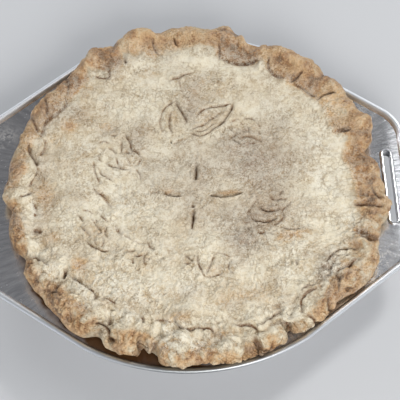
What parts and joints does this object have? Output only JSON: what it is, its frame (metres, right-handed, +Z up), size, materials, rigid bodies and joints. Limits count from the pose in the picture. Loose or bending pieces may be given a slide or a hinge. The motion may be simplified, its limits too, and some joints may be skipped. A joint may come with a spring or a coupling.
{
  "type": "double-crust fruit pie in its metal dish",
  "caption": "Round double-crust fruit pie with a fluted rim and a pale lid with vent cuts, baked in a pressed metal pie dish with two slotted handle wings.",
  "frame": {"origin": "on the underside of the dish, below the middle of its outline", "axes": "+X out through one handle wing, +Y from the front of the dish to its back, +Z up"},
  "size_m": [0.2912, 0.2632, 0.0505],
  "materials": {
    "crust": "matte",
    "metal": "satin"
  },
  "bodies": {
    "root": {"fruit_pie": "crust", "pie_dish": "metal"}
  },
  "joints": []
}
